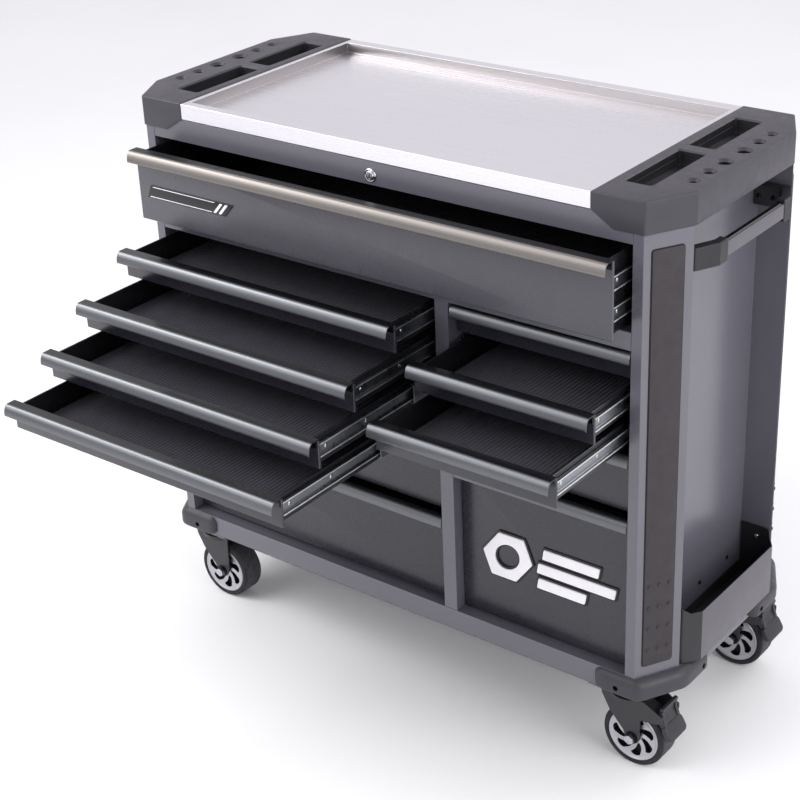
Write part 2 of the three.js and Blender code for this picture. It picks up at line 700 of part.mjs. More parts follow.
function casters() {
  const rim = turned(rimProfile, WHEEL_SEGMENTS);
  const tyre = turned(tyreProfile, WHEEL_SEGMENTS);
  CASTER_SPOTS.forEach(({ name, x, y, braked }) => {
    const caster = new THREE.Group();
    caster.position.set(x + TRAIL, y, 0);
    chest.add(caster);
    place(`fork_${name}`, fork(braked), 'dark_steel', [0, 0, 0], caster);
    place(`rim_${name}`, rim.clone(), 'silver', [0, 0, WHEEL_RADIUS], caster);
    place(`tyre_${name}`, tyre.clone(), 'tyre', [0, 0, WHEEL_RADIUS], caster);
    if (braked) {
      place(`brake_pedal_${name}`, brakePedal(), 'rubber', [0, 0, 0], caster);
    }
  });
}

// ---------------------------------------------------------------- assembly

cabinet();
worktop();
bumpers();
sideHandle();
sideTray();
lock();
slideBanks();
drawers();
casters();

// The open drawers and the side tray stand out past the bumpers, so the box's middle isn't the chest's.
const handleFront = Math.min(...HANDLE_SECTION.map(([y]) => y));
const widestOpen = Math.max(...DRAWERS.map(({ open }) => open));
const frontmost = FRONT_FACE_Y + handleFront - widestOpen;
const [bumperSide] = BUMPER_OUTER[2];
const [, bumperFront] = BUMPER_OUTER[1];
chest.position.set((bumperSide - TRAY_OUTER_X) / 2, (bumperFront - frontmost) / 2, 0);

const part = new THREE.Group();
part.add(chest);

export default part;
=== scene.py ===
# Rolling tool chest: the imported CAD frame, detailed and given its materials.
# Shapes are worked out in millimetres from the chest's own centre plane, and turned into the frame's metres
# when a piece is made.
import math

import bmesh
import bpy
from mathutils import Matrix, Vector


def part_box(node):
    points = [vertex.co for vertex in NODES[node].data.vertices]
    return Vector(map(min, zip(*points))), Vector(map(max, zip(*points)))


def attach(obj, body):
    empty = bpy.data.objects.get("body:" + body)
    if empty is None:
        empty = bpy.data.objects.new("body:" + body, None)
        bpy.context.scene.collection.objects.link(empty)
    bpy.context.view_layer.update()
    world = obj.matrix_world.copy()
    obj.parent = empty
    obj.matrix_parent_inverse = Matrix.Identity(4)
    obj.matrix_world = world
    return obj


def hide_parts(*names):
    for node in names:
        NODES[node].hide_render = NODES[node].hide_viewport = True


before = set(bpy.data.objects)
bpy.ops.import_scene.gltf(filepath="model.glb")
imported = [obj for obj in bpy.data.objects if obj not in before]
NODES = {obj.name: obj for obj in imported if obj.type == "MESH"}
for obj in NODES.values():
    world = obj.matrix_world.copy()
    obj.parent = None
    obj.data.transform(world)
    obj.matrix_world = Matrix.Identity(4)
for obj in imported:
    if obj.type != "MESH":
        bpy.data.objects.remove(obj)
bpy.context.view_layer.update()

MM = 0.001

# ---- the chest's centre and its sizes

cap_low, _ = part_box("left_end_cap")
_, cap_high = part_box("right_end_cap")
CENTRE = Vector(((cap_low[0] + cap_high[0]) / 2, (cap_low[1] + cap_high[1]) / 2, 0.0))


def extent(node):
    """Lowest and highest x, y, z of a CAD node, in millimetres from the chest's centre."""
    low, high = [(Vector(corner) - CENTRE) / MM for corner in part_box(node)]
    return (low.x, high.x), (low.y, high.y), (low.z, high.z)


BODY_X = 589.5  # half width of the cabinet
BODY_Y = 250.5  # half depth of the cabinet
CHAMFER_X = 45.0  # how much of the width and of the depth each corner post's chamfer takes
CHAMFER_Y = 80.0
RECESS_X = 526.5  # the side wall's face, inside the recess

# ---- plan and section helpers


def area(outline):
    """Signed area of a closed outline, positive where it runs anticlockwise."""
    pairs = zip(outline, outline[1:] + outline[:1])
    return sum(a[0] * b[1] - b[0] * a[1] for a, b in pairs) / 2


def rounded(outline, radius, steps=5):
    """Rounds every corner of a closed outline. radius is one number, or one for each corner."""
    count = len(outline)
    radii = radius if isinstance(radius, (list, tuple)) else [radius] * count
    result = []
    for i, corner in enumerate(outline):
        here = Vector(corner)
        before = Vector(outline[i - 1]) - here
        after = Vector(outline[(i + 1) % count]) - here
        if radii[i] <= 0 or before.length < 1e-6 or after.length < 1e-6:
            result.append(tuple(here))
            continue
        angle = before.angle(after)
        reach = min(radii[i] / math.tan(angle / 2), 0.49 * before.length, 0.49 * after.length)
        start = here + before.normalized() * reach
        end = here + after.normalized() * reach
        for k in range(steps + 1):
            t = k / steps
            result.append(tuple(start * (1 - t) ** 2 + here * 2 * t * (1 - t) + end * t ** 2))
    return result


def inset(outline, distance):
    """Moves a closed outline inward by a distance, with mitred corners."""
    sign = 1 if area(outline) > 0 else -1
    count = len(outline)
    result = []
    for i, corner in enumerate(outline):
        here = Vector(corner)
        before = here - Vector(outline[i - 1])
        after = Vector(outline[(i + 1) % count]) - here
        if before.length < 1e-9 or after.length < 1e-9:
            result.append(tuple(here))
            continue
        before.normalize()
        after.normalize()
        left_before = Vector((-before.y, before.x)) * sign
        left_after = Vector((-after.y, after.x)) * sign
        share = distance / max(0.2, 1 + left_before.dot(left_after))
        result.append(tuple(here + (left_before + left_after) * share))
    return result


def rectangle(x, y):
    return [(x[0], y[0]), (x[1], y[0]), (x[1], y[1]), (x[0], y[1])]


def circle(radius, steps, centre=(0, 0)):
    turns = [2 * math.pi * k / steps for k in range(steps)]
    return [(centre[0] + radius * math.cos(turn), centre[1] + radius * math.sin(turn)) for turn in turns]


def quarter_turn(steps):
    """Evenly spaced angles from 0 to 90 degrees."""
    return [k / steps * math.pi / 2 for k in range(steps + 1)]


def turned(along, across, angle):
    """A point given along and across a direction at an angle."""
    cos, sin = math.cos(angle), math.sin(angle)
    return along * cos - across * sin, along * sin + across * cos


def place_point(axis, p, q, level):
    """A point in space from its place (p, q) in a section and its level along an axis."""
    if axis == "x":
        return (level, p, q)
    if axis == "y":
        return (p, level, q)
    return (p, q, level)


# ---- mesh helpers

CARVE_CLEAN = 1e-3  # millimetres between points that a cut leaves as one
BEVEL_FROM = math.radians(30)  # edges flatter than this stay as they are
FLAT_WITHIN = math.radians(1)  # CAD facets closer than this become one face


def loft(bm, rings):
    """Joins rings of points with faces, and closes both ends."""
    rows = [[bm.verts.new(point) for point in ring] for ring in rings]
    for low, high in zip(rows, rows[1:]):
        for i in range(len(low)):
            j = (i + 1) % len(low)
            bm.faces.new((low[i], low[j], high[j], high[i]))
    bm.faces.new(rows[0][::-1])
    bm.faces.new(rows[-1])


def prism(bm, outline, axis, low, high):
    loft(bm, [[place_point(axis, p, q, level) for p, q in outline] for level in (low, high)])


def slab(bm, outline, axis, low, high, edge, both=False, steps=3):
    """A plate whose edge at the high side, or at both sides, is rounded off."""
    sign = 1 if high > low else -1
    arc = [(edge * (1 - math.sin(turn)), edge * (1 - math.cos(turn))) for turn in quarter_turn(steps)]
    levels = [(low, 0.0)]
    if both:
        levels = [(low + sign * depth, distance) for depth, distance in reversed(arc)]
    levels += [(high - sign * depth, distance) for depth, distance in arc]
    rings = []
    for level, distance in levels:
        ring = inset(outline, distance) if distance > 0 else outline
        rings.append([place_point(axis, p, q, level) for p, q in ring])
    loft(bm, rings)


def lathe(bm, profile, centre, axis, steps=32, closed=True):
    """Turns a profile of (radius, height) about an axis through centre.

    closed joins the profile's last point to its first.
    """
    rows = []
    for k in range(steps):
        ring = []
        for radius, height in profile:
            p, q = turned(radius, 0, 2 * math.pi * k / steps)
            point = Vector(place_point(axis, p, q, height)) + Vector(centre)
            ring.append(bm.verts.new(point))
        rows.append(ring)
    size = len(profile)
    for k in range(steps):
        here = rows[k]
        there = rows[(k + 1) % steps]
        for i in range(size if closed else size - 1):
            j = (i + 1) % size
            bm.faces.new((here[i], here[j], there[j], there[i]))
    bmesh.ops.remove_doubles(bm, verts=[vert for row in rows for vert in row], dist=1e-4)


def disc(bm, centre, axis, radius, low, high, steps=24, edge=0.0):
    """A round post between two heights, with its high edge rounded."""
    sign = 1 if high > low else -1
    profile = [(0, low), (radius, low)]
    if edge > 0:
        for turn in quarter_turn(3):
            profile.append((radius - edge * (1 - math.cos(turn)), high - sign * edge * (1 - math.sin(turn))))
    else:
        profile.append((radius, high))
    profile.append((0, high))
    lathe(bm, profile, centre, axis, steps, closed=False)


def shift(bm, before, matrix):
    """Moves what has been added to a mesh since it had this number of vertices."""
    bm.verts.ensure_lookup_table()
    bmesh.ops.transform(bm, matrix=matrix, verts=bm.verts[before:])


def object_of(name, bm):
    """Turns a mesh under construction into an object, and frees it."""
    bmesh.ops.recalc_face_normals(bm, faces=bm.faces)
    mesh = bpy.data.meshes.new(name)
    bm.to_mesh(mesh)
    bm.free()
    obj = bpy.data.objects.new(name, mesh)
    bpy.context.scene.collection.objects.link(obj)
    return obj


def carve(body, *tools):
    """Cuts mesh tools from a mesh, and returns the result as a new mesh."""
    main = object_of("carved", body)
    cutters = []
    for tool in tools:
        cutter = object_of("cutter", tool)
        modifier = main.modifiers.new("carve", "BOOLEAN")
        modifier.operation = "DIFFERENCE"
        modifier.solver = "EXACT"
        modifier.object = cutter
        cutters.append(cutter)
    graph = bpy.context.evaluated_depsgraph_get()
    result = bmesh.new()
    result.from_object(main, graph)
    for obj in (main, *cutters):
        bpy.data.objects.remove(obj, do_unlink=True)
    bmesh.ops.remove_doubles(result, verts=result.verts, dist=CARVE_CLEAN)
    bmesh.ops.dissolve_degenerate(result, edges=result.edges, dist=CARVE_CLEAN)
    return result


def piece(name, bm, body, material, bevel=0.0, segments=2, replaces=(), paint=None, crease=35):
    """Makes a piece from a millimetre mesh, and lets it ride on a body.

    replaces names the CAD nodes that it stands for. paint gives, for a face, the number of the material
    that it takes from a list. Edges sharper than crease degrees are shaded sharp.
    """
    bmesh.ops.recalc_face_normals(bm, faces=bm.faces)
    materials = material if isinstance(material, list) else [material]
    if paint:
        for face in bm.faces:
            face.material_index = paint(face)
    bmesh.ops.transform(bm, matrix=Matrix.Translation(CENTRE) @ Matrix.Scale(MM, 4), verts=bm.verts)
    obj = object_of(name, bm)
    mesh = obj.data
    for entry in materials:
        mesh.materials.append(entry)
    for polygon in mesh.polygons:
        polygon.use_smooth = True
    mesh.set_sharp_from_angle(angle=math.radians(crease))
    if bevel > 0:
        modifier = obj.modifiers.new("edges", "BEVEL")
        modifier.width = bevel * MM
        modifier.segments = segments
        modifier.limit_method = "ANGLE"
        modifier.angle_limit = BEVEL_FROM
        modifier.harden_normals = True
    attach(obj, body)
    if replaces:
        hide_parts(*replaces)


def refine(node, body, material, bevel, segments=2, paint=None):
    """A copy of a CAD node with clean flat faces and eased edges, which stands for the node."""
    bm = bmesh.new()
    bm.from_mesh(NODES[node].data)
    bmesh.ops.remove_doubles(bm, verts=bm.verts, dist=1e-6)
    bmesh.ops.transform(bm, matrix=Matrix.Scale(1 / MM, 4) @ Matrix.Translation(-CENTRE), verts=bm.verts)
    bmesh.ops.dissolve_limit(bm, angle_limit=FLAT_WITHIN, verts=bm.verts, edges=bm.edges)
    piece(f"{node}_skin", bm, body, material, bevel, segments, (node,), paint)


# ---- materials


def linear(code):
    """Linear colour of an sRGB hex code."""
    values = [int(code[i:i + 2], 16) / 255 for i in (0, 2, 4)]
    return tuple(v / 12.92 if v <= 0.04045 else ((v + 0.055) / 1.055) ** 2.4 for v in values) + (1.0,)


# Where a noise texture's values mostly lie, and the sockets of a colour Mix node.
NOISE_SPREAD = (0.3, 0.7)
MIX_FACTOR, MIX_FIRST, MIX_SECOND, MIX_RESULT = 0, 6, 7, 2


class Surface:
    """A material on the Principled shader, with the nodes that its noise layers share."""

    def __init__(self, name, roughness, metallic=0.0, specular=0.5, stretch=(1, 1, 1)):
        self.material = bpy.data.materials.new(name)
        self.material.use_nodes = True
        self.nodes = self.material.node_tree.nodes
        self.links = self.material.node_tree.links
        self.shader = self.nodes["Principled BSDF"]
        self.set("Roughness", roughness)
        self.set("Metallic", metallic)
        self.set("Specular IOR Level", specular)
        self.where = self.nodes.new("ShaderNodeTexCoord")
        self.mapping = self.nodes.new("ShaderNodeMapping")
        self.mapping.inputs["Scale"].default_value = stretch
        self.links.new(self.where.outputs["Object"], self.mapping.inputs["Vector"])

    def set(self, socket, value):
        self.shader.inputs[socket].default_value = value

    def noise(self, scale, detail=2.0, rough=0.5):
        node = self.nodes.new("ShaderNodeTexNoise")
        node.inputs["Scale"].default_value = scale
        node.inputs["Detail"].default_value = detail
        node.inputs["Roughness"].default_value = rough
        self.links.new(self.mapping.outputs["Vector"], node.inputs["Vector"])
        return node.outputs["Fac"]

    def cells(self, scale):
        node = self.nodes.new("ShaderNodeTexVoronoi")
        node.inputs["Scale"].default_value = scale
        self.links.new(self.mapping.outputs["Vector"], node.inputs["Vector"])
        return node.outputs["Distance"]

    def ramp(self, source, stops):
        """Turns a value into a colour, or a grey number, through (position, value) stops."""
        node = self.nodes.new("ShaderNodeValToRGB")
        self.links.new(source, node.inputs["Fac"])
        band = node.color_ramp
        for i, (position, value) in enumerate(stops):
            element = band.elements[i] if i < 2 else band.elements.new(position)
            element.position = position
            element.color = value if isinstance(value, tuple) else (value, value, value, 1.0)
        return node.outputs["Color"]

    def blend(self, factor, first, second, mode="MIX"):
        node = self.nodes.new("ShaderNodeMix")
        node.data_type = "RGBA"
        node.blend_type = mode
        for source, socket in ((factor, MIX_FACTOR), (first, MIX_FIRST), (second, MIX_SECOND)):
            if isinstance(source, tuple):
                node.inputs[socket].default_value = source
            else:
                self.links.new(source, node.inputs[socket])
        return node.outputs[MIX_RESULT]

    def colour(self, source):
        self.links.new(source, self.shader.inputs["Base Color"])

    def gloss(self, source, low, high):
        """Lets the roughness drift between two values."""
        node = self.nodes.new("ShaderNodeMapRange")
        node.inputs["From Min"].default_value = NOISE_SPREAD[0]
        node.inputs["From Max"].default_value = NOISE_SPREAD[1]
        node.inputs["To Min"].default_value = low
        node.inputs["To Max"].default_value = high
        self.links.new(source, node.inputs["Value"])
        self.links.new(node.outputs["Result"], self.shader.inputs["Roughness"])

    def bump(self, source, strength, depth_mm):
        node = self.nodes.new("ShaderNodeBump")
        node.inputs["Strength"].default_value = strength
        node.inputs["Distance"].default_value = depth_mm * MM
        self.links.new(source, node.inputs["Height"])
        previous = self.shader.inputs["Normal"]
        if previous.is_linked:
            self.links.new(previous.links[0].from_socket, node.inputs["Normal"])
        self.links.new(node.outputs["Normal"], previous)

    def facing(self, axis):
        """How far a surface's own normal lies along an axis, from 0 to 1."""
        split = self.nodes.new("ShaderNodeSeparateXYZ")
        self.links.new(self.where.outputs["Normal"], split.inputs["Vector"])
        size = self.nodes.new("ShaderNodeMath")
        size.operation = "ABSOLUTE"
        self.links.new(split.outputs[axis], size.inputs[0])
        return size.outputs["Value"]


def powder_coat(name, shade, flecks, roughness, specular=0.5):
    """Baked powder paint: fine orange peel, faint flecks and slow drifts of tone."""
    s = Surface(name, roughness, specular=specular)
    drift = s.ramp(s.noise(5.0, 3.0), [(0.3, linear(shade)), (0.7, linear(flecks))])
    grains = s.ramp(s.noise(2600.0, 1.0), [(0.62, 0.0), (0.74, 0.5)])
    s.colour(s.blend(grains, drift, linear(flecks), "SCREEN"))
    s.gloss(s.noise(40.0, 4.0), roughness * 0.92, roughness * 1.1)
    s.bump(s.noise(900.0, 1.0), 0.05, 0.02)
    return s.material


def moulded(name, shade, light, roughness, grain=1500.0, depth=0.08, specular=0.42):
    """Injection-moulded plastic with a spark-eroded grain and lighter scuffed tone."""
    s = Surface(name, roughness, specular=specular)
    s.colour(s.ramp(s.noise(22.0, 5.0), [(0.32, linear(shade)), (0.72, linear(light))]))
    s.gloss(s.noise(60.0, 5.0), roughness * 0.9, roughness * 1.12)
    s.bump(s.cells(grain), 0.3, depth)
    s.bump(s.noise(grain * 0.7, 3.0), 0.25, depth)
    return s.material


def brushed(name, shade, light, roughness, stretch, strength, anisotropic=0.4):
    """Metal with a directional grain."""
    s = Surface(name, roughness, 1.0, stretch=stretch)
    lines = s.noise(1.0, 6.0, 0.65)
    s.colour(s.ramp(lines, [(0.3, linear(shade)), (0.7, linear(light))]))
    s.gloss(lines, roughness - 0.05, roughness + 0.08)
    s.bump(lines, strength, 0.05)
    s.set("Anisotropic", anisotropic)
    return s.material


def plated(name, shade, light, roughness, spangle=180.0):
    """Zinc plate: faint spangle and a light peel."""
    s = Surface(name, roughness, 1.0)
    s.colour(s.ramp(s.cells(spangle), [(0.1, linear(light)), (0.8, linear(shade))]))
    s.gloss(s.noise(90.0, 4.0), roughness * 0.85, roughness * 1.2)
    s.bump(s.noise(300.0, 2.0), 0.03, 0.02)
    return s.material


def rubber(name, shade, dust, roughness=0.75, grain=900.0):
    """Matt rubber with a light bloom of dust."""
    s = Surface(name, roughness, specular=0.35)
    s.colour(s.ramp(s.noise(30.0, 5.0, 0.6), [(0.35, linear(shade)), (0.75, linear(dust))]))
    s.gloss(s.noise(55.0, 4.0), roughness - 0.08, roughness + 0.1)
    s.bump(s.noise(grain, 4.0), 0.4, 0.15)
    return s.material


def tyre_rubber():
    """Dark rubber, with the running surface rubbed lighter than the walls."""
    s = Surface("tyre_rubber", 0.7, specular=0.4)
    wall = s.ramp(s.noise(40.0, 4.0), [(0.3, linear("1b1a1e")), (0.75, linear("242327"))])
    tread = s.ramp(s.noise(120.0, 6.0, 0.7), [(0.35, linear("323135")), (0.7, linear("49484c"))])
    share = s.ramp(s.facing("Y"), [(0.25, 1.0), (0.75, 0.0)])
    s.colour(s.blend(share, wall, tread))
    s.gloss(s.noise(70.0, 4.0), 0.6, 0.85)
    s.bump(s.noise(700.0, 4.0), 0.35, 0.12)
    return s.material


FRAME_GREY = powder_coat("frame_grey_powder", "57565f", "5b5a63", 0.24, 0.75)
PANEL_DARK = powder_coat("front_anthracite_powder", "23222a", "27262e", 0.27, 0.62)
TOP_FRONT = powder_coat("top_front_powder", "3a3941", "3e3d45", 0.28, 0.7)
BOX_BLACK = powder_coat("drawer_box_black", "0f0f12", "131316", 0.26, 0.6)
FORK_BLACK = powder_coat("fork_black_powder", "252428", "2a292d", 0.42)
TRAY_GREY = powder_coat("tray_warm_grey", "504e54", "545258", 0.42)
# Near-black that paints the shade seen inside the side tray, on its slanted wall and on its ears.
TRAY_PAINTED_SHADE = powder_coat("tray_painted_shade", "1a191d", "1f1e22", 0.42)
PLASTIC = moulded("cap_plastic", "38363d", "3c3a41", 0.42)
# Darker plastic that paints the shade inside the end caps' pockets.
POCKET_PAINTED_SHADE = moulded("pocket_painted_shade", "1b1a1e", "201f23", 0.42)
BUMPER_PLASTIC = moulded("bumper_plastic", "333238", "38373d", 0.44)
BRACKET_PLASTIC = moulded("bracket_plastic", "1f1e22", "242328", 0.46)
PEDAL_PLASTIC = moulded("pedal_plastic", "2a292d", "2f2e32", 0.45)
# Near-black that paints the shade in holes, in the strips' grooves, in the keyway and in the wheels'
# openings.
HOLE_PAINTED_SHADE = moulded("painted_recess_shade", "09090b", "0d0d0f", 0.6)
STRIP_RUBBER = rubber("strip_rubber", "332f33", "363236", 0.6)
LINER_RUBBER = rubber("liner_rubber", "3d3c43", "434249", 0.7, 1400.0)
TYRE = tyre_rubber()
STAINLESS = brushed("worktop_stainless", "e3e1e6", "eae8ed", 0.28, (4, 700, 700), 0.02, 0.2)
# A darker steel that paints the shade and dark reflection on the worktop pan's inner walls.
STAINLESS_PAINTED_SHADE = brushed("worktop_wall_painted_shade", "8c8888", "9a9696", 0.34, (4, 700, 700), 0.02, 0.2)
TRIM_STRIP = brushed("trim_dark_chrome", "66686b", "707275", 0.37, (3, 300, 300), 0.02, 0.3)
TRIM_GOLD = brushed("trim_champagne", "7a7571", "88837f", 0.42, (3, 400, 400), 0.03)
TRIM_BLACK = moulded("trim_black", "0c0c0f", "111114", 0.16, 2500.0, 0.005)
TRIM_TOP = moulded("trim_blue_black", "0d0e12", "111216", 0.3, 2500.0, 0.005, 0.2)
ZINC = plated("slide_zinc", "8b8e92", "94979b", 0.3)
# A bright zinc that paints the highlight along the slides' flange edges.
SLIDE_EDGE_PAINTED_HIGHLIGHT = plated("slide_edge_painted_highlight", "d2d4d7", "e4e6e8", 0.36)
SCREW = plated("screw_zinc", "b0b2b6", "d8dadd", 0.2, 400.0)
CHROME = brushed("lock_chrome", "c9c9cd", "e6e6ea", 0.08, (200, 200, 200), 0.02, 0.0)
WASHER = plated("black_oxide", "1c1c1f", "2a2a2e", 0.35, 500.0)
RIM_SILVER = plated("rim_silver_paint", "b6b5bb", "c6c5cb", 0.34, 900.0)
EMBLEM_WHITE = moulded("emblem_white", "eceaee", "f4f2f5", 0.3, 1800.0, 0.02)

# ---- cabinet shell


def cabinet():
    """The sheet-metal shell, the worktop pan and the slide banks, each with its edges eased."""
    shells = {
        "base_pan": 0.9,
        "back_panel": 0.6,
        "left_side_panel": 0.9,
        "right_side_panel": 0.9,
        "top_header": 0.8,
        "inner_frame": 0.8,
    }
    for node, bevel in shells.items():
        refine(node, "cabinet", FRAME_GREY, bevel)

    def paint(face):
        """Paints shade on the pan's inner walls, which face its middle: they take a darker steel than its
        floor and outer lips, standing for the dark reflection they show.
        """
        centre = face.calc_center_median()
        inward = face.normal.x * centre.x + face.normal.y * centre.y
        return 1 if abs(face.normal.z) < 0.6 and inward < -100 else 0

    refine("worktop_pan", "cabinet", [STAINLESS, STAINLESS_PAINTED_SHADE], 1.0, 3, paint)
    for node in NODES:
        if node.startswith("slide_bank"):
            refine(node, "cabinet", ZINC, 0.4, 1)


# ---- end caps

CAP_INNER = 447.0  # where a cap starts, beside the pan
HOLE_X = 561  # the row of bit holes
HOLES = [(-129, 7.5), (-79, 9), (-25.5, 11.5), (39.5, 11.5), (91.5, 9), (138, 7.5)]  # y and radius
POCKET_X = (467, 517)
POCKETS = [(-184, -8), (20, 187)]  # from which y to which y


def end_cap(side):
    """A moulded cap with two pockets, a row of bit holes and a slope cut under its inner end."""
    (_, outer), (front, back), (bottom, top) = extent("right_end_cap")
    shoulder = 45.0
    shoulder_y = 85.0
    outline = [
        (CAP_INNER, front),
        (outer - shoulder, front),
        (outer, front + shoulder_y),
        (outer, back - shoulder_y),
        (outer - shoulder, back),
        (CAP_INNER, back),
    ]
    radii = [1.5, 5, 5, 5, 5, 1.5]
    crown = 2.4
    rings = []
    levels = [(bottom, 1.2), (bottom + 0.4, 0.4), (bottom + 1.4, 0.0)]
    levels += [(top - crown * (1 - math.sin(turn)), crown * (1 - math.cos(turn))) for turn in quarter_turn(4)]
    for z, distance in levels:
        shape = inset(outline, distance)
        shape = [(max(x, CAP_INNER + min(distance, 1.5)), y) for x, y in shape]
        ring = rounded(shape, [max(r - distance, 0.6) for r in radii], 6)
        rings.append([(side * x, y, z) for x, y in ring])
    block = bmesh.new()
    loft(block, rings)

    cutter = bmesh.new()
    pocket_depth = 27
    hole_depth = 30
    for pocket in POCKETS:
        # How far below the top each level lies, and how much wider than the pocket it is there.
        depths = [(-1, 3.4), (0.2, 2.4), (2.8, 0), (13, -0.6), (13.4, -2.2), (24.5, -3), (26.3, -4)]
        depths.append((pocket_depth, -6))
        shapes = []
        for depth, grow in depths:
            ring = rounded(inset(rectangle(POCKET_X, pocket), -grow), max(5 + grow, 2), 5)
            shapes.append([(side * x, y, top - depth) for x, y in ring])
        loft(cutter, shapes)
    for y, radius in HOLES:
        wider = [(5.6, -1), (4.8, -0.1), (4.4, 0.4), (0.4, 4.2), (0, 4.8), (-0.4, hole_depth)]
        profile = [(radius + grow, top - depth) for grow, depth in wider]
        profile = [(0, top + 1)] + profile + [(0, top - hole_depth)]
        lathe(cutter, profile, (side * HOLE_X, y, 0), "z", 36, closed=False)
    wedge = bmesh.new()
    slope = [(CAP_INNER - 43, bottom + 53), (CAP_INNER - 43, bottom - 26.5), (CAP_INNER + 86, bottom - 26.5)]
    prism(wedge, [(side * x, z) for x, z in slope], "y", front - 5, back + 5)
    carved = carve(block, cutter, wedge)

    def paint(face):
        """Paints shade in the holes with black and in the pockets with a darker plastic."""
        centre = face.calc_center_median()
        pocket_middle = sum(POCKET_X) / 2
        if abs(abs(centre.x) - pocket_middle) < 26 and top - pocket_depth - 1 < centre.z < top - 3:
            return 2 if min(abs(centre.y - (a + b) / 2) - (b - a) / 2 for a, b in POCKETS) < 1 else 0
        in_row = abs(abs(centre.x) - HOLE_X) < 20 and top - hole_depth - 1 < centre.z < top - 6
        return 1 if in_row and min(abs(centre.y - y) for y, _ in HOLES) < 13 else 0

    name = "right_end_cap" if side > 0 else "left_end_cap"
    shades = [PLASTIC, HOLE_PAINTED_SHADE, POCKET_PAINTED_SHADE]
    piece(f"{name}_moulding", carved, "cabinet", shades, 0, 2, (name,), paint, 28)


# ---- corner strips, bumpers


def chamfer_matrix(sx, sy):
    """Local (along, up, out) on a corner post's chamfer, from its front or rear edge."""
    start = Vector((sx * (BODY_X - CHAMFER_X), sy * BODY_Y, 0))
    end = Vector((sx * BODY_X, sy * (BODY_Y - CHAMFER_Y), 0))
    along = (end - start).normalized()
    up = Vector((0, 0, 1))
    out = Vector((along.y, -along.x, 0))
    if out.x * sx < 0:
        out = -out
    matrix = Matrix((along, up, out)).transposed().to_4x4()
    matrix.translation = start
    return matrix


CORNERS = {
    "front_right": (1, -1),
    "rear_right": (1, 1),
    "front_left": (-1, -1),
    "rear_left": (-1, 1),
}


def corner_strips():
    """A rubber strip on each corner post's chamfer, in a dark seat that paints the shade of its groove, with
    a field of studs at its foot.
    """
    low, high = 239.0, 1033.0
    first, last = 13.4, 75.4
    stud_columns = (24.5, 44.4, 64.3)
    stud_rows = (273, 317, 361, 405)
    stud = [(0, 2.4), (4.0, 2.4), (3.8, 3.2), (3.0, 4.4), (1.8, 5.0), (0.8, 4.6), (0, 4.4)]
    for corner, (sx, sy) in CORNERS.items():
        matrix = chamfer_matrix(sx, sy)
        outline = rounded(rectangle((first, last), (low, high)), 7, 6)
        groove = bmesh.new()
        steps = ((0.05, 0), (0.9, 0.2), (0.9, 2))
        loft(groove, [[(p, q, height) for p, q in inset(outline, within)] for height, within in steps])
        shift(groove, 0, matrix)
        # The seat is a dark sheet under the strip, and its rim paints the shade of the groove.
        piece(f"strip_painted_shade_{corner}", groove, "cabinet", HOLE_PAINTED_SHADE)
        body = bmesh.new()
        slab(body, inset(outline, 1.6), "z", 0.5, 2.6, 1.2)
        shift(body, 0, matrix)
        piece(f"strip_{corner}", body, "cabinet", STRIP_RUBBER)
        studs = bmesh.new()
        for along in stud_columns:
            for up in stud_rows:
                lathe(studs, stud, (along, up, 0), "z", 18, closed=False)
        shift(studs, 0, matrix)
        piece(f"strip_studs_{corner}", studs, "cabinet", STRIP_RUBBER)


